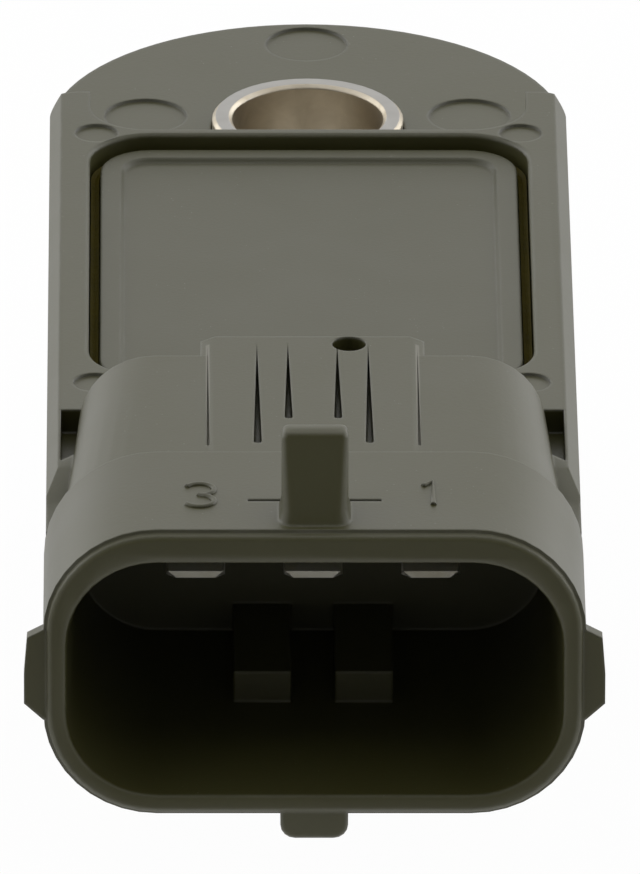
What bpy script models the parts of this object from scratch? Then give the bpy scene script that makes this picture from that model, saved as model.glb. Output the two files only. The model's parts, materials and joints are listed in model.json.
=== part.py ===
"""Manifold absolute pressure sensor with one mounting bush and a three-blade plug socket.

Metres, +Z up. The origin is on the seating plane, on the axis of the pressure port. The plug
socket opens towards -Y, the mounting bush stands at +Y, and the cover faces +Z.
"""

import math

import bmesh
import bpy

MM = 0.001

# Running clearances between pieces
MOULD_GAP = 0.05 * MM           # between a moulded-in or seated piece and what holds it
SOLDER_GAP = 0.03 * MM          # between soldered, welded or fused pieces

# Housing, seen from above
BODY_WIDTH = 21.8 * MM          # across the flange and the frame
PORT_TO_BUSH = 18.0 * MM        # screw axis behind the port axis
PORT_TO_MOUTH = 33.2 * MM       # mouth of the plug socket in front of the port axis
FLANGE_THICKNESS = 5.5 * MM
FLANGE_FOOT_CHAMFER = 0.3 * MM

# Raised frame round the cover
FRAME_HEIGHT = 2.0 * MM         # above the flange
FRAME_EDGE_INSET = 0.48 * MM    # sloping outer edge of the frame
FRAME_EDGE_DROP = 0.65 * MM
RAIL_WIDTH = 1.7 * MM           # side rails that run back past the bush
RAIL_END = 0.75 * MM            # the rails stop this far in front of the screw axis
RAIL_CORNER = 1.2 * MM          # roundness of the rails' rear ends
RUN_OUT_BEHIND = 4.3 * MM       # the rails slope down this far behind the collar
RUN_OUT_LENGTH = 1.8 * MM
RUN_OUT_DROP = 0.8 * MM
BUSH_TO_WALL = 4.7 * MM         # screw axis to the rear wall of the frame
WALL_THICKNESS = 0.5 * MM       # between that wall and the sealant groove
WALL_FILLET = 2.45 * MM

# Seat of the cover, sealant channel and chamber
WELL_WIDTH = 18.4 * MM
WELL_LENGTH = 24.4 * MM
WELL_CORNER = 2.6 * MM
WELL_EDGE = 0.12 * MM
CHANNEL_WIDTH = 1.45 * MM
CHANNEL_DEPTH = 0.75 * MM       # below the ledge that carries the cover
LEDGE_WIDTH = 0.7 * MM
CHAMBER_FLOOR = 1.8 * MM        # above the seating plane

# Cover
COVER_GAP = 0.45 * MM           # sealant groove left open round the cover
COVER_THICKNESS = 1.3 * MM
COVER_DROP = 0.5 * MM           # cover top below frame top
COVER_BORDER = 0.85 * MM
COVER_FIELD_DEPTH = 0.2 * MM
COVER_FIELD_SLOPE = 0.16 * MM
COVER_EDGE = 0.06 * MM

# Sealant bead
SEALANT_DROP = 0.95 * MM        # top of the bead below the frame top
SEALANT_CROWN = 0.12 * MM

# Mounting bush for an M6 screw
BUSH_OUTER = 8.1 * MM
BUSH_BORE = 6.4 * MM
BUSH_PROUD = 0.55 * MM          # above the flange
BUSH_CHAMFER = 0.15 * MM

# Plug socket: collar
COLLAR_WIDTH = 21.96 * MM
COLLAR_RISE = 2.8 * MM          # collar top above the frame top
COLLAR_HEIGHT = 12.66 * MM
COLLAR_LENGTH = 8.15 * MM
COLLAR_CORNER = 4.6 * MM
COLLAR_WALL = 0.97 * MM         # at the sides and the floor
COLLAR_ROOF = 1.42 * MM
COLLAR_REAR_RISE = 1.3 * MM     # depth of the stepped rear edge of the collar
COLLAR_REAR_RUN = 0.5 * MM
SLAB_OVERLAP = 0.2 * MM         # the flange and frame end this far inside the collar
LIP_LENGTH = 0.35 * MM          # thin lip at the mouth, set in from the collar
LIP_INSET = 0.12 * MM
LIP_EDGE = 0.22 * MM
MOUTH_EDGE = 0.3 * MM           # rounding of the rim towards the socket
MOUTH_EDGE_MIDDLE = 0.3         # share of it, in width and depth, at the middle of the rounding
SOCKET_DEPTH = 14.8 * MM
SOCKET_TAPER = 0.45 * MM        # each side draws in by this much down to the rear wall

# Plug socket: body behind the collar
BODY_SETBACK = 3.35 * MM        # rear face of the body in front of the sealant groove
BODY_DROP = 0.3 * MM            # body top below collar top
BODY_REAR_WIDTH = 19.15 * MM
BODY_FRONT_WIDTH = 20.4 * MM
BODY_CORNER = 3.1 * MM
BODY_EDGE = 0.25 * MM
PAD_WIDTH = 9.2 * MM            # raised field on the body, in line with the latch nose
PAD_RISE = 0.12 * MM
PAD_SLOPE = 0.6 * MM
PAD_LEAD = 1.4 * MM             # the pad starts this far behind the body
SLOT_SPACING_OUTER = 4.56 * MM
SLOT_SPACING_INNER = 2.02 * MM
SLOT_WIDTH = 0.33 * MM
SLOT_REAR_GAP = 0.6 * MM        # slots start this far in front of the pad's rear
SLOT_LENGTH_OUTER = 9.9 * MM
SLOT_LENGTH_INNER = 7.5 * MM
SLOT_DEPTH = 0.6 * MM
EDGE_SLOT_WIDTH = 0.12 * MM     # fine slot along each sloping edge of the pad
EDGE_SLOT_DEPTH = 0.15 * MM
GATE_DIAMETER = 1.4 * MM
GATE_OFFSET = 1.5 * MM
GATE_SETBACK = 0.76 * MM        # centre of the gate mark in front of the pad's rear
GATE_DEPTH = 1.0 * MM

# Pockets beside the socket body
POCKET_WIDTH = 1.4 * MM
POCKET_RAIL = 0.58 * MM         # outer wall left beside the pocket
POCKET_LENGTH = 5.1 * MM
POCKET_SLANT = 1.5 * MM
POCKET_DEPTH = 1.05 * MM

# Latch nose, guides and ribs
NOSE_WIDTH = 2.7 * MM
NOSE_FOOT_FLARE = 0.12 * MM
NOSE_HEIGHT = 3.65 * MM
NOSE_SETBACK = 0.8 * MM         # foot of the nose behind the mouth
NOSE_LENGTH = 2.4 * MM          # at its foot
NOSE_LEAN = 1.05 * MM           # front face from foot to top
NOSE_REAR_LEAN = 0.35 * MM
NOSE_EDGE = 0.25 * MM
NOSE_FOOT_CORNER = 0.6 * MM
NOSE_LINE_LENGTH = 1.35 * MM    # fine parting lines beside the nose
NOSE_LINE_WIDTH = 0.18 * MM
NOSE_LINE_DEPTH = 0.12 * MM
GUIDE_HEIGHT = 4.0 * MM         # side guides of the collar
GUIDE_DROP = 0.12 * MM          # middle of the guide below the middle of the collar
GUIDE_PROUD = 0.78 * MM
GUIDE_LENGTH = 0.6 * MM
GUIDE_SETBACK = 0.3 * MM
GUIDE_TOP_SLOPE = 0.35 * MM
GUIDE_FOOT_SLOPE = 0.73 * MM
GUIDE_DRAFT = 0.13 * MM         # the upper half of the face draws in by this much
RIB_WIDTH = 2.75 * MM           # rib under the collar
RIB_HEIGHT = 1.05 * MM
RIB_CORNER = 0.6 * MM
RIB_ROOT = 0.68 * MM            # the rib reaches this far into the wall of the collar
CODE_RIB_WIDTH = 2.35 * MM      # coding ribs on the socket floor
CODE_RIB_HEIGHT = 1.65 * MM
CODE_RIB_SPACING = 4.15 * MM
CODE_RIB_SETBACK = 8.3 * MM     # behind the mouth

# Blade terminals
BLADE_COUNT = 3
BLADE_PITCH = 4.8 * MM
BLADE_WIDTH = 2.4 * MM
BLADE_THICKNESS = 0.8 * MM
BLADE_BELOW_TOP = 6.5 * MM      # middle of the blades below the collar top
BLADE_SETBACK = 10.05 * MM      # tips behind the mouth
BLADE_TIP = 0.9 * MM            # length of the tapered tip
BLADE_TIP_WIDTH = 2.25 * MM     # upper edge of the tip
BLADE_TIP_FOOT = 1.6 * MM       # lower edge of the tip
BLADE_TIP_THICKNESS = 0.3 * MM
TAIL_WIDTH = 2.0 * MM
TAIL_LENGTH = 3.4 * MM          # inside the chamber

# Pressure port below the flange
NOZZLE_DIAMETER = 11.8 * MM
NOZZLE_LENGTH = 13.0 * MM
NOZZLE_LEAD_LENGTH = 1.4 * MM
NOZZLE_LEAD_INSET = 1.0 * MM
PORT_BORE = 3.6 * MM
PORT_CHAMFER = 0.3 * MM
RING_SECTION = 2.62 * MM
RING_BORE = 7.9 * MM
RING_GROOVE_WIDTH = 3.2 * MM
RING_BELOW_SEAT = 6.0 * MM      # upper wall of the groove below the seating plane

# Measuring cell
CELL_DIAMETER = 8.6 * MM
CELL_RIM = 0.45 * MM            # rim of the cap outside its wall
CAP_WALL = 0.25 * MM
CAP_DEPTH = 2.9 * MM
HEADER_THICKNESS = 0.95 * MM
NECK_DIAMETER = 2.4 * MM
NECK_BORE = 1.6 * MM
NECK_LENGTH = 2.3 * MM
CELL_SEAT_GAP = 0.2 * MM        # free ring round the cell in its well
CELL_SEAL_DEPTH = 2.2 * MM
CHIP_SIZE = 2.2 * MM
CHIP_THICKNESS = 0.4 * MM
CONTACT_INSET = 0.26 * MM       # contacts from the edges of the chip
GLASS_THICKNESS = 0.9 * MM
LEAD_CIRCLE = 5.2 * MM
LEAD_DIAMETER = 0.45 * MM
LEAD_GLASS_DIAMETER = 1.4 * MM
LEAD_END_BELOW = 0.9 * MM       # below the header
STUB_LEAD_ABOVE = 0.7 * MM      # trimming lead, above the header
LEAD_OVERLAP = 1.0 * MM         # lead on the terminal's tail
LEAD_BEND = 0.7 * MM            # each bend starts this far from its corner
WIRE_DIAMETER = 0.08 * MM
WIRE_SAG = 0.25 * MM
CAPACITOR_LENGTH = 3.6 * MM
CAPACITOR_WIDTH = 1.6 * MM
CAPACITOR_HEIGHT = 0.7 * MM
CAPACITOR_FROM_WALL = 0.3 * MM

# Shallow round marks of the ejector pins
MARK_DEPTH = 0.12 * MM
REAR_MARK_DIAMETER = 3.5 * MM
REAR_MARK_BEHIND = 8.8 * MM     # behind the screw axis
SIDE_MARK_DIAMETER = 3.5 * MM
SIDE_MARK_SPACING = 13.72 * MM
SIDE_MARK_BEHIND = 1.25 * MM
FRAME_MARK_DIAMETER = 1.8 * MM
FRAME_MARK_SPACING = 17.85 * MM
REAR_FRAME_MARK = 5.05 * MM     # in front of the screw axis
FRONT_FRAME_MARK = 0.75 * MM    # in front of the sealant groove

# Roundness
CORNER_STEPS = 8
COLLAR_STEPS = 10
FLANGE_STEPS = 40
ROUND_STEPS = 48
SMALL_STEPS = 24
WIRE_STEPS = 8

# Places worked out from the sizes above
HALF_WIDTH = BODY_WIDTH / 2
COLLAR_HALF = COLLAR_WIDTH / 2
BUSH_Y = PORT_TO_BUSH
MOUTH_Y = -PORT_TO_MOUTH
FRAME_TOP = FLANGE_THICKNESS + FRAME_HEIGHT
WELL_REAR = BUSH_Y - BUSH_TO_WALL - WALL_THICKNESS
WELL_FRONT = WELL_REAR - WELL_LENGTH
COVER_TOP = FRAME_TOP - COVER_DROP
COVER_BASE = COVER_TOP - COVER_THICKNESS
LEDGE_TOP = COVER_BASE - MOULD_GAP
COLLAR_TOP = FRAME_TOP + COLLAR_RISE
COLLAR_FOOT = COLLAR_TOP - COLLAR_HEIGHT
COLLAR_MIDDLE = COLLAR_TOP - COLLAR_HEIGHT / 2
COLLAR_REAR = MOUTH_Y + COLLAR_LENGTH
BODY_REAR = WELL_FRONT - BODY_SETBACK
BODY_TOP = COLLAR_TOP - BODY_DROP
SOCKET_REAR = MOUTH_Y + SOCKET_DEPTH
SOCKET_FLOOR = COLLAR_FOOT + COLLAR_WALL
CHAMBER_INSET = CHANNEL_WIDTH + LEDGE_WIDTH
CHAMBER_FRONT = WELL_FRONT + CHAMBER_INSET
BLADE_MIDDLE = COLLAR_TOP - BLADE_BELOW_TOP
BLADE_TOP = BLADE_MIDDLE + BLADE_THICKNESS / 2
NOSE_FRONT = MOUTH_Y + NOSE_SETBACK
NOSE_REAR = NOSE_FRONT + NOSE_LENGTH
CELL_SEAT = CHAMBER_FLOOR - MOULD_GAP
HEADER_BASE = CELL_SEAT
HEADER_TOP = HEADER_BASE + HEADER_THICKNESS
CAP_TOP = HEADER_BASE - SOLDER_GAP
CAP_FOOT = CAP_TOP - CAP_DEPTH
CAP_RADIUS = CELL_DIAMETER / 2 - CELL_RIM
WELL_RADIUS = CELL_DIAMETER / 2 + CELL_SEAT_GAP
ROUND_WELL_FLOOR = CAP_FOOT - MOULD_GAP


def material(name, color, roughness, metallic=0.0):
    """A Principled material of one colour."""
    made = bpy.data.materials.new(name)
    made.use_nodes = True
    shader = made.node_tree.nodes["Principled BSDF"]
    shader.inputs["Base Color"].default_value = (*color, 1.0)
    shader.inputs["Roughness"].default_value = roughness
    shader.inputs["Metallic"].default_value = metallic
    made.diffuse_color = (*color, 1.0)
    return made


def new_object(name, mesh):
    """An object for the mesh, linked to the scene."""
    made = bpy.data.objects.new(name, mesh)
    bpy.context.scene.collection.objects.link(made)
    return made


def loft(name, rings, closed=False):
    """One closed body through rings of as many points each.

    The first and the last ring are filled, or joined to each other when closed is set.
    """
    bm = bmesh.new()
    loops = [[bm.verts.new(point) for point in ring] for ring in rings]
    pairs = list(zip(loops, loops[1:]))
    if closed:
        pairs.append((loops[-1], loops[0]))
    else:
        bm.faces.new(list(reversed(loops[0])))
        bm.faces.new(loops[-1])
    for lower, upper in pairs:
        for index in range(len(lower)):
            after = (index + 1) % len(lower)
            bm.faces.new((lower[index], lower[after], upper[after], upper[index]))
    bmesh.ops.recalc_face_normals(bm, faces=bm.faces)
    mesh = bpy.data.meshes.new(name)
    bm.to_mesh(mesh)
    bm.free()
    return new_object(name, mesh)


def arc(centre, radius, start, end, steps):
    """Points on an arc, both ends included. Angles are in degrees."""
    points = []
    for step in range(steps + 1):
        angle = math.radians(start + (end - start) * step / steps)
        points.append((centre[0] + radius * math.cos(angle), centre[1] + radius * math.sin(angle)))
    return points


def rounded_rectangle(low, high, radius, steps=CORNER_STEPS):
    """A rounded rectangle between two opposite corners, anticlockwise."""
    points = []
    points += arc((high[0] - radius, high[1] - radius), radius, 0, 90, steps)
    points += arc((low[0] + radius, high[1] - radius), radius, 90, 180, steps)
    points += arc((low[0] + radius, low[1] + radius), radius, 180, 270, steps)
    points += arc((high[0] - radius, low[1] + radius), radius, 270, 360, steps)
    return points


def rectangle(low, high):
    """The four corners of a rectangle, anticlockwise."""
    return [(low[0], low[1]), (high[0], low[1]), (high[0], high[1]), (low[0], high[1])]


def flat_ring(outline, height):
    """An outline in X and Y, laid at a height."""
    return [(x, y, height) for x, y in outline]


def cross_ring(outline, y):
    """An outline in X and Z, stood across the length at y."""
    return [(x, y, z) for x, z in outline]


def prism(name, outline, low, high):
    """An outline in X and Y, extruded from low to high."""
    return loft(name, [flat_ring(outline, low), flat_ring(outline, high)])


def block(name, low, high):
    """A rectangular block between two opposite corners."""
    return prism(name, rectangle(low[:2], high[:2]), low[2], high[2])


def turned(name, profile, centre=(0.0, 0.0), steps=ROUND_STEPS):
    """A solid turned about an upright axis, from pairs of radius and height."""
    rings = []
    for radius, height in profile:
        rings.append(flat_ring(arc(centre, radius, 0, 360, steps)[:-1], height))
    return loft(name, rings)


def turned_ring(name, profile, centre=(0.0, 0.0), steps=ROUND_STEPS):
    """A ring turned about an upright axis, from a closed profile of radius and height."""
    rings = []
    for step in range(steps):
        angle = math.tau * step / steps
        rings.append([
            (centre[0] + radius * math.cos(angle), centre[1] + radius * math.sin(angle), height)
            for radius, height in profile
        ])
    return loft(name, rings, closed=True)


def well_outline(inset):
    """The outline of the cover's well, drawn in by an inset."""
    low = (-WELL_WIDTH / 2 + inset, WELL_FRONT + inset)
    high = (WELL_WIDTH / 2 - inset, WELL_REAR - inset)
    return rounded_rectangle(low, high, WELL_CORNER - inset)


def well_band(name, profile):
    """A band swept round the well, from a closed profile of inset and height."""
    return loft(name, [flat_ring(well_outline(inset), height) for inset, height in profile], closed=True)


def combine(target, tool, operation):
    """Join, cut or keep with a Boolean, and remove the tool."""
    modifier = target.modifiers.new(tool.name, "BOOLEAN")
    modifier.operation = operation
    modifier.solver = "EXACT"
    modifier.object = tool
    depsgraph = bpy.context.evaluated_depsgraph_get()
    made = bpy.data.meshes.new_from_object(target.evaluated_get(depsgraph))
    target.modifiers.clear()
    target.data = made
    bpy.data.objects.remove(tool)


def join(target, *tools):
    for tool in tools:
        combine(target, tool, "UNION")


def cut(target, *tools):
    for tool in tools:
        combine(target, tool, "DIFFERENCE")


def finish(made, surface, smooth_angle=32.0):
    """Give a piece its material, and shade its round faces smooth."""
    made.data.materials.clear()
    made.data.materials.append(surface)
    made.data.shade_smooth()
    made.data.set_sharp_from_angle(angle=math.radians(smooth_angle))
    return made


def slab_outline(half_width):
    """Flange and frame from above: straight sides, round end behind the bush."""
    front = COLLAR_REAR - SLAB_OVERLAP
    corners = [(-half_width, front), (half_width, front)]
    return corners + arc((0.0, BUSH_Y), half_width, 0, 180, FLANGE_STEPS)


def housing_slab():
    """Flange and raised frame as one block with a sloping upper edge."""
    return loft("housing", [
        flat_ring(slab_outline(HALF_WIDTH - FLANGE_FOOT_CHAMFER), 0.0),
        flat_ring(slab_outline(HALF_WIDTH), FLANGE_FOOT_CHAMFER),
        flat_ring(slab_outline(HALF_WIDTH), FRAME_TOP - FRAME_EDGE_DROP),
        flat_ring(slab_outline(HALF_WIDTH - FRAME_EDGE_INSET), FRAME_TOP),
    ])


def flange_step():
    """What is cut away above the flange, behind the frame and between the rails."""
    reach = BODY_WIDTH
    inner = HALF_WIDTH - RAIL_WIDTH
    rail_end = BUSH_Y - RAIL_END
    wall = BUSH_Y - BUSH_TO_WALL
    corner_x = HALF_WIDTH - RAIL_CORNER
    corner_y = rail_end - RAIL_CORNER
    outline = [(reach, BUSH_Y + reach), (-reach, BUSH_Y + reach), (-reach, corner_y)]
    outline += arc((-corner_x, corner_y), RAIL_CORNER, 180, 90, CORNER_STEPS) + [(-inner, rail_end)]
    outline += arc((WALL_FILLET - inner, wall + WALL_FILLET), WALL_FILLET, 180, 270, CORNER_STEPS)
    outline += arc((inner - WALL_FILLET, wall + WALL_FILLET), WALL_FILLET, 270, 360, CORNER_STEPS)
    outline += [(inner, rail_end)] + arc((corner_x, corner_y), RAIL_CORNER, 90, 0, CORNER_STEPS)
    outline += [(reach, corner_y)]
    return prism("flange_step", outline, FLANGE_THICKNESS, FRAME_TOP + FRAME_HEIGHT)


def rail_run_out():
    """What is cut away above the rails where they slope down to the collar."""
    start = COLLAR_REAR + RUN_OUT_BEHIND
    foot = start - RUN_OUT_LENGTH
    front = COLLAR_REAR - COLLAR_REAR_RUN
    above = FRAME_TOP + FRAME_HEIGHT
    low = FRAME_TOP - RUN_OUT_DROP
    outline = [(start, FRAME_TOP), (foot, low), (front, low), (front, above), (start, above)]
    return loft("rail_run_out", [[(x, y, z) for y, z in outline] for x in (-BODY_WIDTH, BODY_WIDTH)])


def cover_well():
    """Seat of the cover, with a broken upper edge."""
    return loft("cover_well", [
        flat_ring(well_outline(0.0), LEDGE_TOP),
        flat_ring(well_outline(0.0), FRAME_TOP - WELL_EDGE),
        flat_ring(well_outline(-WELL_EDGE), FRAME_TOP),
        flat_ring(well_outline(-WELL_EDGE), FRAME_TOP + FRAME_HEIGHT),
    ])


def sealant_channel():
    """Channel for the sealant round the ledge."""
    low = LEDGE_TOP - CHANNEL_DEPTH
    return well_band("sealant_channel", [
        (0.0, low),
        (0.0, FRAME_TOP - FRAME_HEIGHT / 2),
        (CHANNEL_WIDTH, FRAME_TOP - FRAME_HEIGHT / 2),
        (CHANNEL_WIDTH, low),
    ])


def chamber():
    """Chamber for the measuring cell and the terminals' tails."""
    return prism("chamber", well_outline(CHAMBER_INSET), CHAMBER_FLOOR, FRAME_TOP)


def side_pocket(side):
    """Deep narrow pocket between the socket body and the side rail."""
    outer = HALF_WIDTH - POCKET_RAIL
    inner = outer - POCKET_WIDTH
    front = BODY_REAR - POCKET_LENGTH
    outline = [
        (side * inner, front + POCKET_SLANT),
        (side * outer, front),
        (side * outer, BODY_REAR - BODY_EDGE / 2),
        (side * inner, BODY_REAR - BODY_EDGE / 2),
    ]
    return prism("side_pocket", outline, FRAME_TOP - POCKET_DEPTH, FRAME_TOP + FRAME_HEIGHT)


def socket_body():
    """Body behind the collar, wider towards the collar."""
    def section(y, width, inset):
        half = width / 2 - inset
        low = (-half, COLLAR_FOOT + BODY_DROP + inset)
        high = (half, BODY_TOP - inset)
        return cross_ring(rounded_rectangle(low, high, BODY_CORNER - inset), y)

    return loft("socket_body", [
        section(BODY_REAR, BODY_REAR_WIDTH, BODY_EDGE),
        section(BODY_REAR - BODY_EDGE, BODY_REAR_WIDTH, 0.0),
        section(COLLAR_REAR - COLLAR_REAR_RUN, BODY_FRONT_WIDTH, 0.0),
    ])


def socket_pad():
    """Raised field on the body, in line with the latch nose."""
    half = PAD_WIDTH / 2
    top = BODY_TOP + PAD_RISE
    outline = [
        (-half, FRAME_TOP - FRAME_HEIGHT / 2),
        (half, FRAME_TOP - FRAME_HEIGHT / 2),
        (half, BODY_TOP - PAD_RISE),
        (half - PAD_SLOPE, top),
        (PAD_SLOPE - half, top),
        (-half, BODY_TOP - PAD_RISE),
    ]
    return loft("socket_pad", [
        cross_ring(outline, BODY_REAR + PAD_LEAD),
        cross_ring(outline, COLLAR_REAR - COLLAR_REAR_RUN),
    ])


def collar_section(y, inset):
    low = (inset - COLLAR_HALF, COLLAR_FOOT + inset)
    high = (COLLAR_HALF - inset, COLLAR_TOP - inset)
    return cross_ring(rounded_rectangle(low, high, COLLAR_CORNER - inset, COLLAR_STEPS), y)


def collar():
    """Collar of the plug socket, with a thin lip set in at its mouth."""
    lip = MOUTH_Y + LIP_LENGTH
    return loft("collar", [
        collar_section(COLLAR_REAR + COLLAR_REAR_RUN, COLLAR_REAR_RISE),
        collar_section(COLLAR_REAR, LIP_EDGE),
        collar_section(COLLAR_REAR - LIP_EDGE, 0.0),
        collar_section(lip, 0.0),
        collar_section(lip, LIP_INSET),
        collar_section(MOUTH_Y + LIP_EDGE / 2, LIP_INSET + LIP_EDGE / 4),
        collar_section(MOUTH_Y, LIP_INSET + LIP_EDGE),
    ])


def socket_cavity():
    """Inside of the plug socket, rounded at the mouth and drawn in towards its rear wall."""
    def section(y, inset):
        low = (COLLAR_WALL + inset - COLLAR_HALF, SOCKET_FLOOR + inset)
        high = (COLLAR_HALF - COLLAR_WALL - inset, COLLAR_TOP - COLLAR_ROOF - inset)
        corner = COLLAR_CORNER - COLLAR_WALL - inset
        return cross_ring(rounded_rectangle(low, high, corner, COLLAR_STEPS), y)

    middle = MOUTH_EDGE * MOUTH_EDGE_MIDDLE
    return loft("socket_cavity", [
        section(MOUTH_Y - LIP_LENGTH, -MOUTH_EDGE),
        section(MOUTH_Y, -MOUTH_EDGE),
        section(MOUTH_Y + middle, -middle),
        section(MOUTH_Y + MOUTH_EDGE, 0.0),
        section(SOCKET_REAR, SOCKET_TAPER),
    ])


def latch_nose():
    """Latch nose on the collar, with a steep front and rounded edges."""
    def section(height, flare):
        share = min(1.0, height / NOSE_HEIGHT)
        corner = NOSE_FOOT_CORNER + (NOSE_EDGE - NOSE_FOOT_CORNER) * max(0.0, share)
        low = (-NOSE_WIDTH / 2 - flare, NOSE_FRONT + NOSE_LEAN * share - flare)
        high = (NOSE_WIDTH / 2 + flare, NOSE_REAR - NOSE_REAR_LEAN * share + flare)
        return flat_ring(rounded_rectangle(low, high, corner, CORNER_STEPS // 2), COLLAR_TOP + height)

    return loft("latch_nose", [
        section(-COLLAR_WALL / 2, NOSE_FOOT_FLARE),
        section(0.0, NOSE_FOOT_FLARE),
        section(NOSE_EDGE * 2, 0.0),
        section(NOSE_HEIGHT - NOSE_EDGE, 0.0),
        section(NOSE_HEIGHT - NOSE_EDGE / 3, -NOSE_EDGE / 3),
        section(NOSE_HEIGHT, -NOSE_EDGE),
    ])


def nose_line(side):
    """Fine parting line beside the foot of the nose."""
    inner = NOSE_WIDTH / 2 - NOSE_EDGE
    outer = NOSE_WIDTH / 2 + NOSE_LINE_LENGTH
    low = (min(side * inner, side * outer), NOSE_REAR - NOSE_LINE_WIDTH / 2, COLLAR_TOP - NOSE_LINE_DEPTH)
    high = (max(side * inner, side * outer), NOSE_REAR + NOSE_LINE_WIDTH / 2, COLLAR_TOP + NOSE_LINE_WIDTH)
    return block("nose_line", low, high)


def side_guide(side):
    """Short guide on the side of the collar, sloping more below than above."""
    middle = COLLAR_MIDDLE - GUIDE_DROP
    top = middle + GUIDE_HEIGHT / 2
    foot = middle - GUIDE_HEIGHT / 2
    root = side * (COLLAR_HALF - COLLAR_WALL / 2)
    flank = side * COLLAR_HALF
    face = side * (COLLAR_HALF + GUIDE_PROUD)
    shoulder = side * (COLLAR_HALF + GUIDE_PROUD - GUIDE_DRAFT)
    outline = [
        (root, foot),
        (flank, foot),
        (face, foot + GUIDE_FOOT_SLOPE),
        (face, middle),
        (shoulder, top - GUIDE_TOP_SLOPE),
        (flank, top),
        (root, top),
    ]
    front = MOUTH_Y + GUIDE_SETBACK
    return loft("side_guide", [cross_ring(outline, front), cross_ring(outline, front + GUIDE_LENGTH)])


def lower_rib():
    """Rib along the underside of the collar."""
    low = (-RIB_WIDTH / 2, COLLAR_FOOT - RIB_HEIGHT)
    high = (RIB_WIDTH / 2, COLLAR_FOOT + RIB_ROOT)

    def section(y, inset):
        inner_low = (low[0] + inset, low[1] + inset)
        inner_high = (high[0] - inset, high[1] - inset)
        corner = min(RIB_CORNER, RIB_WIDTH / 2.2) - inset
        return cross_ring(rounded_rectangle(inner_low, inner_high, corner, CORNER_STEPS // 2), y)

    return loft("lower_rib", [
        section(MOUTH_Y + LIP_EDGE / 2, LIP_EDGE / 2),
        section(MOUTH_Y + LIP_EDGE, 0.0),
        section(COLLAR_REAR - COLLAR_REAR_RUN, 0.0),
    ])


def coding_rib(side):
    """Rib on the floor of the plug socket, rooted in the floor and the rear wall."""
    middle = side * CODE_RIB_SPACING / 2
    low = (middle - CODE_RIB_WIDTH / 2, SOCKET_FLOOR - COLLAR_WALL / 2)
    high = (middle + CODE_RIB_WIDTH / 2, SOCKET_FLOOR + CODE_RIB_HEIGHT)
    outline = rectangle(low, high)
    front = MOUTH_Y + CODE_RIB_SETBACK
    return loft("coding_rib", [cross_ring(outline, front), cross_ring(outline, SOCKET_REAR + COLLAR_WALL)])


def wedge_slot(x, length, width, depth):
    """Slot in the pad that widens from nothing at its rear towards the mouth."""
    rear = BODY_REAR + PAD_LEAD - SLOT_REAR_GAP
    half = width / 2
    outline = [(x, rear)] + arc((x, rear - length + half), half, 180, 360, CORNER_STEPS // 2)
    return prism("wedge_slot", outline, BODY_TOP - depth, BODY_TOP + SLOT_DEPTH)


def gate_mark():
    """Round hollow that the moulding gate leaves at the rear of the pad."""
    top = BODY_TOP + PAD_RISE
    centre = (GATE_OFFSET, BODY_REAR + PAD_LEAD - GATE_SETBACK)
    radius = GATE_DIAMETER / 2
    return turned("gate_mark", [(radius, top - GATE_DEPTH), (radius, top + GATE_DEPTH)], centre, SMALL_STEPS)


def nozzle():
    """Nozzle of the pressure port with the groove of its sealing ring."""
    radius = NOZZLE_DIAMETER / 2
    groove = RING_BORE / 2 - MOULD_GAP
    groove_top = -RING_BELOW_SEAT
    groove_foot = groove_top - RING_GROOVE_WIDTH
    tip = -NOZZLE_LENGTH
    return turned("nozzle", [
        (radius, CHAMBER_FLOOR / 2),
        (radius, groove_top),
        (groove, groove_top),
        (groove, groove_foot),
        (radius, groove_foot),
        (radius, tip + NOZZLE_LEAD_LENGTH),
        (radius - NOZZLE_LEAD_INSET, tip),
    ])


def port_bore():
    """Pressure bore, seat of the cell's neck and round well of the cell."""
    bore = PORT_BORE / 2
    neck = NECK_DIAMETER / 2 + MOULD_GAP
    tip = -NOZZLE_LENGTH
    neck_foot = CAP_FOOT - NECK_LENGTH - MOULD_GAP
    return turned("port_bore", [
        (bore + 2 * PORT_CHAMFER, tip - PORT_CHAMFER),
        (bore, tip + PORT_CHAMFER),
        (bore, neck_foot - (bore - neck)),
        (neck, neck_foot),
        (neck, ROUND_WELL_FLOOR),
        (WELL_RADIUS, ROUND_WELL_FLOOR),
        (WELL_RADIUS, CHAMBER_FLOOR + MOULD_GAP),
    ])


def bush_hole():
    radius = BUSH_OUTER / 2 + MOULD_GAP
    return turned("bush_hole", [(radius, -MM), (radius, FLANGE_THICKNESS + MM)], (0.0, BUSH_Y))


def blade_slot(x):
    """Passage of a terminal through the wall behind the socket."""
    half_width = BLADE_WIDTH / 2 + MOULD_GAP
    half_height = BLADE_THICKNESS / 2 + MOULD_GAP
    low = (x - half_width, SOCKET_REAR - MOULD_GAP, BLADE_MIDDLE - half_height)
    high = (x + half_width, CHAMBER_FRONT + MOULD_GAP, BLADE_MIDDLE + half_height)
    return block("blade_slot", low, high)


def pin_mark(x, y, diameter, surface):
    """Shallow round mark of an ejector pin."""
    radius = diameter / 2
    return turned("pin_mark", [(radius, surface - MARK_DEPTH), (radius, surface + MARK_DEPTH)], (x, y), SMALL_STEPS)


def blade_places():
    """X of each terminal, from left to right."""
    middle = (BLADE_COUNT - 1) / 2
    return [(index - middle) * BLADE_PITCH for index in range(BLADE_COUNT)]


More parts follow.
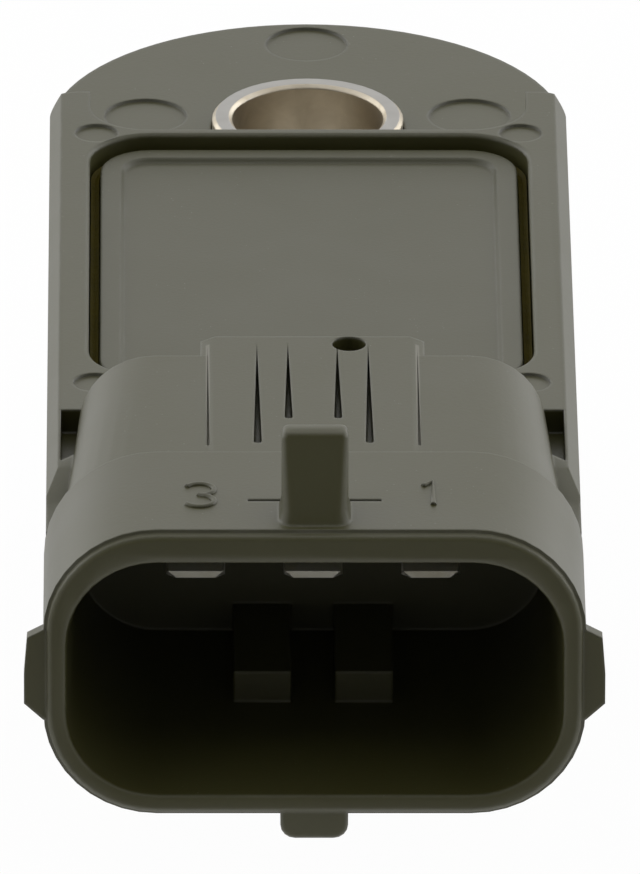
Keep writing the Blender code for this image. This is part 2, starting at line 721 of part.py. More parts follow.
def build_housing(plastic):
    """The one moulding that carries everything else."""
    housing = housing_slab()
    cut(housing, flange_step(), rail_run_out(), cover_well(), sealant_channel(), chamber())
    cut(housing, side_pocket(-1), side_pocket(1))
    join(housing, socket_body(), socket_pad(), collar(), latch_nose(), lower_rib())
    join(housing, side_guide(-1), side_guide(1), nozzle())
    cut(housing, socket_cavity(), port_bore(), bush_hole(), gate_mark(), nose_line(-1), nose_line(1))
    edge_spacing = PAD_WIDTH - PAD_SLOPE
    for side in (-1, 1):
        outer = wedge_slot(side * SLOT_SPACING_OUTER / 2, SLOT_LENGTH_OUTER, SLOT_WIDTH, SLOT_DEPTH)
        inner = wedge_slot(side * SLOT_SPACING_INNER / 2, SLOT_LENGTH_INNER, SLOT_WIDTH, SLOT_DEPTH)
        edge = wedge_slot(side * edge_spacing / 2, SLOT_LENGTH_OUTER, EDGE_SLOT_WIDTH, EDGE_SLOT_DEPTH)
        cut(housing, outer, inner, edge)
    for x in blade_places():
        cut(housing, blade_slot(x))
    join(housing, coding_rib(-1), coding_rib(1))
    cut(housing, pin_mark(0.0, BUSH_Y + REAR_MARK_BEHIND, REAR_MARK_DIAMETER, FLANGE_THICKNESS))
    for side in (-1, 1):
        x = side * SIDE_MARK_SPACING / 2
        cut(housing, pin_mark(x, BUSH_Y + SIDE_MARK_BEHIND, SIDE_MARK_DIAMETER, FLANGE_THICKNESS))
        x = side * FRAME_MARK_SPACING / 2
        cut(housing, pin_mark(x, BUSH_Y - REAR_FRAME_MARK, FRAME_MARK_DIAMETER, FRAME_TOP))
        cut(housing, pin_mark(x, WELL_FRONT - FRONT_FRAME_MARK, FRAME_MARK_DIAMETER, FRAME_TOP))
    return finish(housing, plastic)


def build_cover(plastic):
    """Flat cover with a recessed field."""
    edge = COVER_GAP + COVER_EDGE
    border = COVER_GAP + COVER_BORDER
    floor = COVER_TOP - COVER_FIELD_DEPTH
    return finish(loft("cover", [
        flat_ring(well_outline(edge), COVER_BASE),
        flat_ring(well_outline(COVER_GAP), COVER_BASE + COVER_EDGE),
        flat_ring(well_outline(COVER_GAP), COVER_TOP - COVER_EDGE),
        flat_ring(well_outline(edge), COVER_TOP),
        flat_ring(well_outline(border), COVER_TOP),
        flat_ring(well_outline(border + COVER_FIELD_SLOPE), floor),
    ]), plastic)


def build_sealant(sealant):
    """Bead that fills the channel and the foot of the groove round the cover."""
    top = FRAME_TOP - SEALANT_DROP
    low = LEDGE_TOP - CHANNEL_DEPTH + MOULD_GAP
    under_cover = LEDGE_TOP
    inner = CHANNEL_WIDTH - MOULD_GAP
    beside_cover = COVER_GAP - MOULD_GAP
    return finish(well_band("cover_sealant", [
        (MOULD_GAP, low),
        (MOULD_GAP, top),
        ((MOULD_GAP + beside_cover) / 2, top - SEALANT_CROWN),
        (beside_cover, top),
        (beside_cover, under_cover),
        (inner, under_cover),
        (inner, low),
    ]), sealant)


def build_bush(steel):
    """Steel bush that takes the clamping force of the screw."""
    outer = BUSH_OUTER / 2
    inner = BUSH_BORE / 2
    top = FLANGE_THICKNESS + BUSH_PROUD
    return finish(turned_ring("mounting_bush", [
        (outer - BUSH_CHAMFER, 0.0),
        (outer, BUSH_CHAMFER),
        (outer, top - BUSH_CHAMFER),
        (outer - BUSH_CHAMFER, top),
        (inner + BUSH_CHAMFER, top),
        (inner, top - BUSH_CHAMFER),
        (inner, BUSH_CHAMFER),
        (inner + BUSH_CHAMFER, 0.0),
    ], (0.0, BUSH_Y)), steel)


def build_port_ring(rubber):
    """Sealing ring in the groove of the nozzle."""
    radius = RING_SECTION / 2
    centre = RING_BORE / 2 + radius
    height = -RING_BELOW_SEAT - RING_GROOVE_WIDTH / 2
    profile = arc((centre, height), radius, 0, 360, CORNER_STEPS + 2)[:-1]
    return finish(turned_ring("port_o_ring", profile), rubber, 60.0)


def build_terminal(name, x, metal):
    """Blade in the socket, bar through the wall and soldering tail in the chamber."""
    def section(y, width, foot_width, thickness):
        low = BLADE_MIDDLE - thickness / 2
        high = BLADE_MIDDLE + thickness / 2
        return cross_ring([
            (x - foot_width / 2, low),
            (x + foot_width / 2, low),
            (x + width / 2, high),
            (x - width / 2, high),
        ], y)

    tip = MOUTH_Y + BLADE_SETBACK
    return finish(loft(name, [
        section(tip, BLADE_TIP_WIDTH, BLADE_TIP_FOOT, BLADE_TIP_THICKNESS),
        section(tip + BLADE_TIP, BLADE_WIDTH, BLADE_WIDTH, BLADE_THICKNESS),
        section(CHAMBER_FRONT, BLADE_WIDTH, BLADE_WIDTH, BLADE_THICKNESS),
        section(CHAMBER_FRONT + MOULD_GAP, TAIL_WIDTH, TAIL_WIDTH, BLADE_THICKNESS),
        section(CHAMBER_FRONT + TAIL_LENGTH, TAIL_WIDTH, TAIL_WIDTH, BLADE_THICKNESS),
    ]), metal, 20.0)


def build_cell_cap(steel):
    """Deep-drawn cap of the cell, with its rim above and its neck below."""
    wall = CAP_RADIUS
    inner = CAP_RADIUS - CAP_WALL
    rim = CELL_DIAMETER / 2
    neck = NECK_DIAMETER / 2
    bore = NECK_BORE / 2
    foot = CAP_FOOT
    return finish(turned_ring("cell_cap", [
        (rim, CAP_TOP),
        (inner, CAP_TOP),
        (inner, foot + CAP_WALL),
        (bore, foot + CAP_WALL),
        (bore, foot - NECK_LENGTH),
        (neck, foot - NECK_LENGTH),
        (neck, foot),
        (wall, foot),
        (wall, CAP_TOP - CAP_WALL),
        (rim, CAP_TOP - CAP_WALL),
    ], steps=SMALL_STEPS), steel)


def build_cell_seal(sealant):
    """Adhesive ring between the wall of the cap and its well in the housing."""
    top = CAP_TOP - CAP_WALL - MOULD_GAP
    inner = CAP_RADIUS + MOULD_GAP
    outer = WELL_RADIUS - MOULD_GAP
    low = top - CELL_SEAL_DEPTH
    profile = [(inner, low), (outer, low), (outer, top), (inner, top)]
    return finish(turned_ring("cell_seal", profile, steps=SMALL_STEPS), sealant)


def lead_places():
    """Centres of the four leads on their circle."""
    return arc((0.0, 0.0), LEAD_CIRCLE / 2, 45, 315, 3)


def build_cell_header(steel):
    """Metal base of the cell with its lead holes."""
    radius = CELL_DIAMETER / 2
    header = turned("cell_header", [(radius, HEADER_BASE), (radius, HEADER_TOP)], steps=SMALL_STEPS)
    hole = LEAD_GLASS_DIAMETER / 2 + SOLDER_GAP
    for place in lead_places():
        cut(header, turned("lead_hole", [(hole, HEADER_BASE - MM), (hole, HEADER_TOP + MM)], place, WIRE_STEPS * 2))
    return finish(header, steel)


def build_lead_glass(name, place, glass):
    """Glass bead that insulates a lead."""
    outer = LEAD_GLASS_DIAMETER / 2
    inner = LEAD_DIAMETER / 2 + SOLDER_GAP
    profile = [(inner, HEADER_BASE), (outer, HEADER_BASE), (outer, HEADER_TOP), (inner, HEADER_TOP)]
    return finish(turned_ring(name, profile, place, WIRE_STEPS * 2), glass)


def wire_body(name, points, diameter):
    """Round wire along points, with filled ends."""
    curve = bpy.data.curves.new(name, "CURVE")
    curve.dimensions = "3D"
    curve.bevel_depth = diameter / 2
    curve.bevel_resolution = 2
    curve.use_fill_caps = True
    spline = curve.splines.new("POLY")
    spline.points.add(len(points) - 1)
    for target, point in zip(spline.points, points):
        target.co = (*point, 1.0)
    made = new_object(name, curve)
    depsgraph = bpy.context.evaluated_depsgraph_get()
    mesh = bpy.data.meshes.new_from_object(made.evaluated_get(depsgraph))
    bpy.data.objects.remove(made)
    return new_object(name, mesh)


def bent(points, radius, steps=3):
    """The points with each inner corner replaced by a small arc."""
    smooth = [points[0]]
    for before, corner, after in zip(points, points[1:], points[2:]):
        for share in [index / steps for index in range(steps + 1)]:
            start = toward(corner, before, radius * (1 - share))
            end = toward(corner, after, radius * share)
            smooth.append(tuple((a * (1 - share) + b * share) for a, b in zip(start, end)))
    smooth.append(points[-1])
    return smooth


def toward(start, end, distance):
    """The point at a distance from start on the way to end."""
    length = math.dist(start, end)
    return tuple(a + (b - a) * distance / length for a, b in zip(start, end))


def build_leads(metal, glass):
    """Three leads bent onto the terminals' tails, and one short trimming lead."""
    blades = blade_places()
    on_tail = BLADE_TOP + SOLDER_GAP + LEAD_DIAMETER / 2
    tail_end = CHAMBER_FRONT + TAIL_LENGTH
    targets = [None, blades[BLADE_COUNT // 2], blades[0], blades[-1]]
    for index, (place, target) in enumerate(zip(lead_places(), targets), start=1):
        low = (*place, HEADER_BASE - LEAD_END_BELOW)
        if target is None:
            points = [low, (*place, HEADER_TOP + STUB_LEAD_ABOVE)]
        else:
            above = (*place, on_tail)
            over_tail = (target, tail_end, on_tail)
            end = (target, tail_end - LEAD_OVERLAP, on_tail)
            points = bent([low, above, over_tail, end], LEAD_BEND)
        finish(wire_body("cell_lead_%d" % index, points, LEAD_DIAMETER), metal, 60.0)
        build_lead_glass("lead_glass_%d" % index, place, glass)


def build_chip(silicon, glass):
    """Silicon chip on its glass base, below the header."""
    half = CHIP_SIZE / 2
    glass_top = HEADER_BASE - SOLDER_GAP
    glass_low = glass_top - GLASS_THICKNESS
    chip_top = glass_low - SOLDER_GAP
    chip_low = chip_top - CHIP_THICKNESS
    finish(block("glass_base", (-half, -half, glass_low), (half, half, glass_top)), glass)
    finish(block("pressure_chip", (-half, -half, chip_low), (half, half, chip_top)), silicon)
    return chip_low


def build_wires(chip_low, gold):
    """Bond wires from the chip to the three connected leads."""
    contact = CHIP_SIZE / 2 - CONTACT_INSET
    lead_end = HEADER_BASE - LEAD_END_BELOW
    for index, place in enumerate(lead_places()[1:], start=1):
        start = (math.copysign(contact, place[0]), math.copysign(contact, place[1]))
        chip_end = (*start, chip_low - SOLDER_GAP - WIRE_DIAMETER / 2)
        sag = (*place, lead_end - SOLDER_GAP - WIRE_DIAMETER / 2)
        middle = tuple((a + b) / 2 for a, b in zip(chip_end, sag))
        middle = (middle[0], middle[1], min(chip_end[2], sag[2]) - WIRE_SAG)
        points = bent([chip_end, middle, sag], WIRE_SAG)
        finish(wire_body("bond_wire_%d" % index, points, WIRE_DIAMETER), gold, 60.0)


def build_capacitors(ceramic):
    """Suppression capacitors across neighbouring terminals' tails."""
    blades = blade_places()
    low_z = BLADE_TOP + SOLDER_GAP
    front = CHAMBER_FRONT + CAPACITOR_FROM_WALL
    for index, (left, right) in enumerate(zip(blades, blades[1:]), start=1):
        middle = (left + right) / 2
        low = (middle - CAPACITOR_LENGTH / 2, front, low_z)
        high = (middle + CAPACITOR_LENGTH / 2, front + CAPACITOR_WIDTH, low_z + CAPACITOR_HEIGHT)
        finish(block("capacitor_%d" % index, low, high), ceramic)


def main():
    for old in list(bpy.data.objects):
        bpy.data.objects.remove(old)
    plastic = material("housing_plastic", (0.16, 0.155, 0.13), 0.55)
    cover_plastic = material("cover_plastic", (0.17, 0.165, 0.14), 0.6)
    sealant = material("sealant", (0.03, 0.028, 0.015), 0.35)
    steel = material("bush_steel", (0.62, 0.58, 0.52), 0.3, 1.0)
    blade_metal = material("blade_metal", (0.75, 0.73, 0.68), 0.25, 1.0)
    rubber = material("ring_rubber", (0.02, 0.02, 0.02), 0.7)
    glass = material("cell_glass", (0.25, 0.4, 0.35), 0.1)
    silicon = material("chip_silicon", (0.12, 0.12, 0.14), 0.2, 0.6)
    gold = material("bond_gold", (0.9, 0.65, 0.25), 0.25, 1.0)
    ceramic = material("capacitor_ceramic", (0.35, 0.25, 0.16), 0.5)
    build_housing(plastic)
    build_cover(cover_plastic)
    build_sealant(sealant)
    build_bush(steel)
    build_port_ring(rubber)
    for index, x in enumerate(blade_places(), start=1):
        build_terminal("terminal_%d" % index, x, blade_metal)
    build_cell_cap(steel)
    build_cell_seal(sealant)
    build_cell_header(steel)
    build_leads(blade_metal, glass)
    chip_low = build_chip(silicon, glass)
    build_wires(chip_low, gold)
    build_capacitors(ceramic)


main()
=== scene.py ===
"""Studio picture of a manifold absolute pressure sensor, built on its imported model.

Metres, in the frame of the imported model: the plug socket opens towards -Y, the mounting bush
stands at +Y and the cover faces +Z. All finishes are procedural and are laid out in the part's own
coordinates.
"""

import json
import math

import bpy
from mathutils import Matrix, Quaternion, Vector


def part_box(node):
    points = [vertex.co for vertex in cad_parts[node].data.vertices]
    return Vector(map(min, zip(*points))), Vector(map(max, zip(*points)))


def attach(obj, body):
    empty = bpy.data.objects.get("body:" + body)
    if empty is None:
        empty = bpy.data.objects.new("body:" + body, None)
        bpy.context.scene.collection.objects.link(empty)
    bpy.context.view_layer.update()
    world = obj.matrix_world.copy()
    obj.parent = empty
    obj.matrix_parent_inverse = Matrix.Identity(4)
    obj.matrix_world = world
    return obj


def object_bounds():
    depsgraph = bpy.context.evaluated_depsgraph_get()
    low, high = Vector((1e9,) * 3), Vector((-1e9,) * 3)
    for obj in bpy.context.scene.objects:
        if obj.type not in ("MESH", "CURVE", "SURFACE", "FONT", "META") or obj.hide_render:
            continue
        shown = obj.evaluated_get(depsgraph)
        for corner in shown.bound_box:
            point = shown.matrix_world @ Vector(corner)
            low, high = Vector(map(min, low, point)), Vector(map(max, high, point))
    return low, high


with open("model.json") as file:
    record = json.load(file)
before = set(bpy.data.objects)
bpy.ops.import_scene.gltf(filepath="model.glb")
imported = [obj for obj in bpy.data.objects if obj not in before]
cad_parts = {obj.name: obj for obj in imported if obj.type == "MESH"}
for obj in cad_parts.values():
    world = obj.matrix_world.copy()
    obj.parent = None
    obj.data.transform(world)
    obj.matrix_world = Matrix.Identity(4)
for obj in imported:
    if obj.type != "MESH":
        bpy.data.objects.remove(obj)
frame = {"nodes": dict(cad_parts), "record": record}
cad_low, cad_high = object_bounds()

MM = 0.001

# Camera, fitted to the photograph
CAMERA_DISTANCE = 1.0
CAMERA_ELEVATION = 24.457
CAMERA_AZIMUTH = -0.406
CAMERA_ROLL = 0.187
VIEW_POINT = Vector((0.0, -2.0, 4.0)) * MM       # the camera's angles are measured to this point
AIM_RIGHT = 0.416 * MM                          # image centre to the right of that point
AIM_DOWN = 3.392 * MM                           # image centre below that point
LENS = 989.9
SENSOR = 36.0

# Studio
FLOOR_SIZE = 5.0
FLOOR_COLOR = (0.9, 0.9, 0.9, 1.0)
FLOOR_DROP = 0.05 * MM                          # below the tip of the nozzle
FLOOR_GLOW = 0.97                               # share of the floor's white that needs no lamp
FLOOR_FLAG_RISE = 0.5 * MM                      # grey cloth above the tip of the nozzle
CLOTH_ROUGHNESS = 0.9

# Places on the part that the finishes and the numbers need
BUSH_PLACE = (0.0, 18.0 * MM, 0.0)
COLLAR_TOP = 10.3 * MM
HIGHLIGHT_LINE_PLACE = 4.3 * MM                           # painted highlight lines on the pad, left and right of the middle
HIGHLIGHT_LINE_WIDTH = 0.1 * MM
HIGHLIGHT_LINE_BASE = 9.3 * MM
HIGHLIGHT_LINE_MIDDLE = -19.1 * MM
HIGHLIGHT_LINE_HALF = 5.0 * MM                            # half the painted highlight lines' length
BLADE_PITCH = 4.8 * MM
GROUND_FACING = (0.8, 0.95)                     # upright part of the normal on the bush's ground ends
CAPACITOR_END = 1.3 * MM                        # where the plating starts, from a capacitor's middle
PLATING_EDGE = 0.03 * MM
NUMBER_HEIGHT = 2.2 * MM
NUMBER_WIDTH = 1.2 * MM
NUMBER_STROKE = 0.26 * MM
NUMBER_RISE = 0.12 * MM                         # above the top of the collar
NUMBER_PLACES = {"3": (-4.66 * MM, -29.55 * MM), "1": (4.8 * MM, -29.35 * MM)}

# Shading of the solids' round faces
SMOOTH_ANGLE = math.radians(27.0)
WELD_DISTANCE = 0.001 * MM

# Effects that several finishes share
EDGE_BEGINS = 0.995                             # agreement of rounded and flat normals
EDGE_FULL = 0.85
LINE_STRETCH = 0.04                             # detail along drawn lines against detail across them
STAIN_SIZE = 1.2 * MM

# What the housing's and the cover's plastic have in common
PLASTIC_CLOUD = 5.0 * MM
PLASTIC_SPECULAR = 0.75
PLASTIC_RELIEF = 0.006 * MM                     # depth of the grain
GLOSS_SPREAD = 0.03                             # how much rougher the clouds' light parts are
RUBBED_GLOSS = 0.06                             # how much smoother the rubbed edges are
RUBBED_AND_HIGHLIGHT_SHARE = 0.3                              # share of the paler edge colour: partly rubbed wear, partly painted edge highlight
DUST_SHARE = 0.5
DUST_SPECK = 0.07 * MM
DUST_SPACING = 5.0                              # between specks, in sizes of a speck
DUST_PATCH = 3.0 * MM
DUST_COLOR = (0.35, 0.34, 0.31, 1.0)
# painted highlight: colour of the pale lines beside the pad's slots
PAINTED_HIGHLIGHT_COLOR = (0.17, 0.16, 0.12, 1.0)


# Node helpers

def place(tree, kind, values=None, **settings):
    """A node with its settings and with values on its named inputs."""
    node = tree.nodes.new(kind)
    for name, value in settings.items():
        setattr(node, name, value)
    for socket, value in (values or {}).items():
        node.inputs[socket].default_value = value
    return node


def feed(tree, target, source):
    """Give an input a socket or a plain value."""
    if isinstance(source, bpy.types.NodeSocket):
        tree.links.new(source, target)
    else:
        target.default_value = source


def calculate(tree, operation, *sources, clamp=False):
    """Math node on sockets or numbers. Returns its output."""
    node = place(tree, "ShaderNodeMath", operation=operation, use_clamp=clamp)
    for target, source in zip(node.inputs, sources):
        feed(tree, target, source)
    return node.outputs[0]


def combine_vectors(tree, operation, *sources):
    """Vector math node. Returns its vector output, or the number of a dot product or a length."""
    node = place(tree, "ShaderNodeVectorMath", operation=operation)
    targets = [node.inputs[0], node.inputs["Scale"]] if operation == "SCALE" else node.inputs
    for target, source in zip(targets, sources):
        feed(tree, target, source)
    return node.outputs["Value" if operation in ("DOT_PRODUCT", "LENGTH") else "Vector"]


def remap(tree, source, low, high, to_low=0.0, to_high=1.0):
    """A value from one range to another, held inside it."""
    node = place(tree, "ShaderNodeMapRange", {
        "From Min": low, "From Max": high, "To Min": to_low, "To Max": to_high,
    })
    feed(tree, node.inputs["Value"], source)
    return node.outputs["Result"]


def mix_colors(tree, factor, first, second):
    """A colour between two colours."""
    node = place(tree, "ShaderNodeMix", data_type="RGBA")
    feed(tree, node.inputs["Factor"], factor)
    feed(tree, node.inputs[6], first)
    feed(tree, node.inputs[7], second)
    return node.outputs[2]


def noise(tree, vector, scale=1.0, detail=2.0, roughness=0.5, distortion=0.0):
    """Noise between 0 and 1."""
    node = place(tree, "ShaderNodeTexNoise", {
        "Scale": scale, "Detail": detail, "Roughness": roughness, "Distortion": distortion,
    })
    feed(tree, node.inputs["Vector"], vector)
    return node.outputs["Fac"]


def part_coordinates(tree):
    """Coordinates of the part, in metres."""
    return place(tree, "ShaderNodeTexCoord").outputs["Object"]


def divided(tree, vector, size):
    """Coordinates counted in steps of a size."""
    return combine_vectors(tree, "SCALE", vector, calculate(tree, "DIVIDE", 1.0, size))


def new_group(name, inputs, outputs):
    """A shader node group with named inputs and outputs."""
    group = bpy.data.node_groups.new(name, "ShaderNodeTree")
    for label, kind, value in inputs:
        socket = group.interface.new_socket(name=label, in_out="INPUT", socket_type=kind)
        socket.default_value = value
    for label, kind in outputs:
        group.interface.new_socket(name=label, in_out="OUTPUT", socket_type=kind)
    return group, group.nodes.new("NodeGroupInput").outputs, group.nodes.new("NodeGroupOutput").inputs


def use_group(tree, group, **values):
    """Place a group in a material. Underscores stand for the spaces in its inputs' names."""
    node = place(tree, "ShaderNodeGroup", node_tree=group)
    for label, value in values.items():
        feed(tree, node.inputs[label.replace("_", " ")], value)
    return node.outputs


# Effects that several finishes share

def moulded_grain_group():
    """Fine grain of a spark-eroded mould, and the soft clouds of a filled plastic."""
    group, inputs, outputs = new_group(
        "moulded grain",
        [("Grain Size", "NodeSocketFloat", 0.2 * MM), ("Cloud Size", "NodeSocketFloat", 4.0 * MM)],
        [("Height", "NodeSocketFloat"), ("Cloud", "NodeSocketFloat"), ("Speckle", "NodeSocketFloat")],
    )
    here = part_coordinates(group)
    fine = divided(group, here, inputs["Grain Size"])
    wide = divided(group, here, inputs["Cloud Size"])
    feed(group, outputs["Height"], noise(group, fine, detail=3.0, roughness=0.6))
    feed(group, outputs["Cloud"], remap(group, noise(group, wide, detail=3.0, distortion=0.6), 0.3, 0.7))
    speckle = noise(group, fine, scale=0.55, detail=1.0)
    feed(group, outputs["Speckle"], remap(group, speckle, 0.35, 0.65))
    return group


def edge_wear_and_highlight_group():
    """Rounded normals at the edges, and a broken mask of where they are paler: partly rubbed wear, partly
    painted highlight on the edges.
    """
    group, inputs, outputs = new_group(
        "edge wear",
        [("Radius", "NodeSocketFloat", 0.15 * MM), ("Patch Size", "NodeSocketFloat", 1.5 * MM)],
        [("Mask", "NodeSocketFloat"), ("Normal", "NodeSocketVector")],
    )
    rounded = place(group, "ShaderNodeBevel", samples=6)
    feed(group, rounded.inputs["Radius"], inputs["Radius"])
    flat = place(group, "ShaderNodeNewGeometry").outputs["Normal"]
    agreement = combine_vectors(group, "DOT_PRODUCT", rounded.outputs["Normal"], flat)
    edge = remap(group, agreement, EDGE_BEGINS, EDGE_FULL)
    patches = noise(group, divided(group, part_coordinates(group), inputs["Patch Size"]), detail=4.0)
    feed(group, outputs["Mask"], calculate(group, "MULTIPLY", edge, remap(group, patches, 0.4, 0.65)))
    feed(group, outputs["Normal"], rounded.outputs["Normal"])
    return group


def settled_dust_group():
    """Specks of dust on what faces up."""
    group, inputs, outputs = new_group(
        "settled dust",
        [("Speck Size", "NodeSocketFloat", 0.25 * MM)],
        [("Mask", "NodeSocketFloat")],
    )
    normal = place(group, "ShaderNodeNewGeometry").outputs["Normal"]
    upward = place(group, "ShaderNodeSeparateXYZ")
    feed(group, upward.inputs[0], normal)
    here = part_coordinates(group)
    cells = place(group, "ShaderNodeTexVoronoi", {"Scale": 1.0, "Randomness": 1.0})
    spacing = calculate(group, "MULTIPLY", inputs["Speck Size"], DUST_SPACING)
    feed(group, cells.inputs["Vector"], divided(group, here, spacing))
    speck = remap(group, cells.outputs["Distance"], 0.09, 0.03)
    patches = remap(group, noise(group, divided(group, here, DUST_PATCH), detail=2.0), 0.5, 0.62)
    facing = remap(group, upward.outputs["Z"], 0.4, 0.9)
    shown = calculate(group, "MULTIPLY", calculate(group, "MULTIPLY", speck, patches), facing)
    feed(group, outputs["Mask"], shown)
    return group


def turned_rings_group():
    """Fine tool marks in rings round an upright axis."""
    group, inputs, outputs = new_group(
        "turned rings",
        [("Centre", "NodeSocketVector", (0.0, 0.0, 0.0)), ("Pitch", "NodeSocketFloat", 0.06 * MM)],
        [("Height", "NodeSocketFloat")],
    )
    offset = combine_vectors(group, "SUBTRACT", part_coordinates(group), inputs["Centre"])
    flattened = combine_vectors(group, "MULTIPLY", offset, (1.0, 1.0, 0.0))
    radius = combine_vectors(group, "LENGTH", flattened)
    steps = place(group, "ShaderNodeCombineXYZ")
    feed(group, steps.inputs["X"], calculate(group, "DIVIDE", radius, inputs["Pitch"]))
    separate = place(group, "ShaderNodeSeparateXYZ")
    feed(group, separate.inputs[0], offset)
    feed(group, steps.inputs["Y"], calculate(group, "DIVIDE", separate.outputs["Z"], inputs["Pitch"]))
    feed(group, outputs["Height"], noise(group, steps.outputs[0], detail=2.0))
    return group


def drawn_lines_group():
    """Fine lines along Y, as on rolled strip and drawn wire."""
    group, inputs, outputs = new_group(
        "drawn lines",
        [("Pitch", "NodeSocketFloat", 0.08 * MM)],
        [("Height", "NodeSocketFloat"), ("Stain", "NodeSocketFloat")],
    )
    here = part_coordinates(group)
    fine = divided(group, here, inputs["Pitch"])
    stretched = combine_vectors(group, "MULTIPLY", fine, (1.0, LINE_STRETCH, 1.0))
    feed(group, outputs["Height"], noise(group, stretched, detail=3.0))
    stains = noise(group, divided(group, here, STAIN_SIZE), detail=3.0)
    feed(group, outputs["Stain"], remap(group, stains, 0.45, 0.7))
    return group


# Finishes

def new_finish(name):
    """A material with one Principled shader. Returns the material, its tree and the shader."""
    made = bpy.data.materials.new(name)
    made.use_nodes = True
    return made, made.node_tree, made.node_tree.nodes["Principled BSDF"]


def bump(tree, shader, height, depth, normal=None):
    """Relief of a depth, on top of the given normals."""
    node = place(tree, "ShaderNodeBump", {"Strength": 1.0, "Distance": depth})
    feed(tree, node.inputs["Height"], height)
    if normal is not None:
        feed(tree, node.inputs["Normal"], normal)
    feed(tree, shader.inputs["Normal"], node.outputs["Normal"])


def vary(tree, shader, mask, colors, roughness):
    """Colour and roughness that change together with a mask, each from its first to its second value."""
    feed(tree, shader.inputs["Base Color"], mix_colors(tree, mask, *colors))
    feed(tree, shader.inputs["Roughness"], remap(tree, mask, 0.0, 1.0, *roughness))


def painted_highlight_lines(tree):
    """Painted highlight: paler lines along both sides of the pad behind the latch nose, in place of the
    light on the edges of its slots.
    """
    part = place(tree, "ShaderNodeSeparateXYZ")
    feed(tree, part.inputs[0], part_coordinates(tree))
    off_line = calculate(tree, "SUBTRACT", calculate(tree, "ABSOLUTE", part.outputs["X"]), HIGHLIGHT_LINE_PLACE)
    line = remap(tree, calculate(tree, "ABSOLUTE", off_line), HIGHLIGHT_LINE_WIDTH, HIGHLIGHT_LINE_WIDTH / 2)
    above = remap(tree, part.outputs["Z"], HIGHLIGHT_LINE_BASE, COLLAR_TOP)
    off_middle = calculate(tree, "ABSOLUTE", calculate(tree, "SUBTRACT", part.outputs["Y"], HIGHLIGHT_LINE_MIDDLE))
    along = remap(tree, off_middle, HIGHLIGHT_LINE_HALF, HIGHLIGHT_LINE_HALF - HIGHLIGHT_LINE_WIDTH)
    return calculate(tree, "MULTIPLY", calculate(tree, "MULTIPLY", line, above), along)


def moulded_plastic(name, groups, dark, light, worn_and_highlit, grain_size, roughness):
    """Filled plastic: clouded and speckled, with painted highlight lines beside the pad's slots, paler on
    edges from rubbed wear and painted edge highlight, with a little dust.
    """
    made, tree, shader = new_finish(name)
    grain = use_group(tree, groups["grain"], Grain_Size=grain_size, Cloud_Size=PLASTIC_CLOUD)
    wear_and_highlight = use_group(tree, groups["wear_and_highlight"], Radius=0.2 * MM, Patch_Size=2.0 * MM)
    dust = use_group(tree, groups["dust"], Speck_Size=DUST_SPECK)
    clouded = mix_colors(tree, grain["Cloud"], dark, light)
    speckled = mix_colors(tree, calculate(tree, "MULTIPLY", grain["Speckle"], 0.5), clouded, dark)
    # painted highlight: pale lines beside the pad's slots
    with_painted_highlight = mix_colors(tree, painted_highlight_lines(tree), speckled, PAINTED_HIGHLIGHT_COLOR)
    # paler edges: partly rubbed wear, partly painted highlight on the edges
    rubbed_and_highlit = mix_colors(tree, calculate(tree, "MULTIPLY", wear_and_highlight["Mask"], RUBBED_AND_HIGHLIGHT_SHARE), with_painted_highlight, worn_and_highlit)
    dusty = mix_colors(tree, calculate(tree, "MULTIPLY", dust["Mask"], DUST_SHARE), rubbed_and_highlit, DUST_COLOR)
    feed(tree, shader.inputs["Base Color"], dusty)
    clouds = remap(tree, grain["Cloud"], 0.0, 1.0, roughness, roughness + GLOSS_SPREAD)
    smoother = calculate(tree, "MULTIPLY", wear_and_highlight["Mask"], RUBBED_GLOSS)
    feed(tree, shader.inputs["Roughness"], calculate(tree, "SUBTRACT", clouds, smoother))
    shader.inputs["Specular IOR Level"].default_value = PLASTIC_SPECULAR
    bump(tree, shader, grain["Height"], PLASTIC_RELIEF, wear_and_highlight["Normal"])
    return made


def housing_plastic(groups):
    """Dark glass-filled plastic of the housing."""
    return moulded_plastic(
        "housing plastic",
        groups,
        dark=(0.0445, 0.0425, 0.0095, 1.0),
        light=(0.0495, 0.0475, 0.012, 1.0),
        worn_and_highlit=(0.1, 0.095, 0.07, 1.0),
        grain_size=0.16 * MM,
        roughness=0.42,
    )


def cover_plastic(groups):
    """Plastic of the cover, a little duller and finer than the housing's."""
    return moulded_plastic(
        "cover plastic",
        groups,
        dark=(0.047, 0.0455, 0.0145, 1.0),
        light=(0.05, 0.0485, 0.0165, 1.0),
        worn_and_highlit=(0.09, 0.085, 0.065, 1.0),
        grain_size=0.13 * MM,
        roughness=0.45,
    )


def sealant_finish(groups):
    """Dark cured sealant with a wavy skin."""
    made, tree, shader = new_finish("sealant")
    grain = use_group(tree, groups["grain"], Grain_Size=0.5 * MM, Cloud_Size=2.0 * MM)
    vary(
        tree, shader, grain["Cloud"],
        colors=((0.055, 0.044, 0.003, 1.0), (0.08, 0.064, 0.006, 1.0)),
        roughness=(0.5, 0.65),
    )
    shader.inputs["Specular IOR Level"].default_value = 0.1
    bump(tree, shader, grain["Height"], 0.04 * MM)
    return made


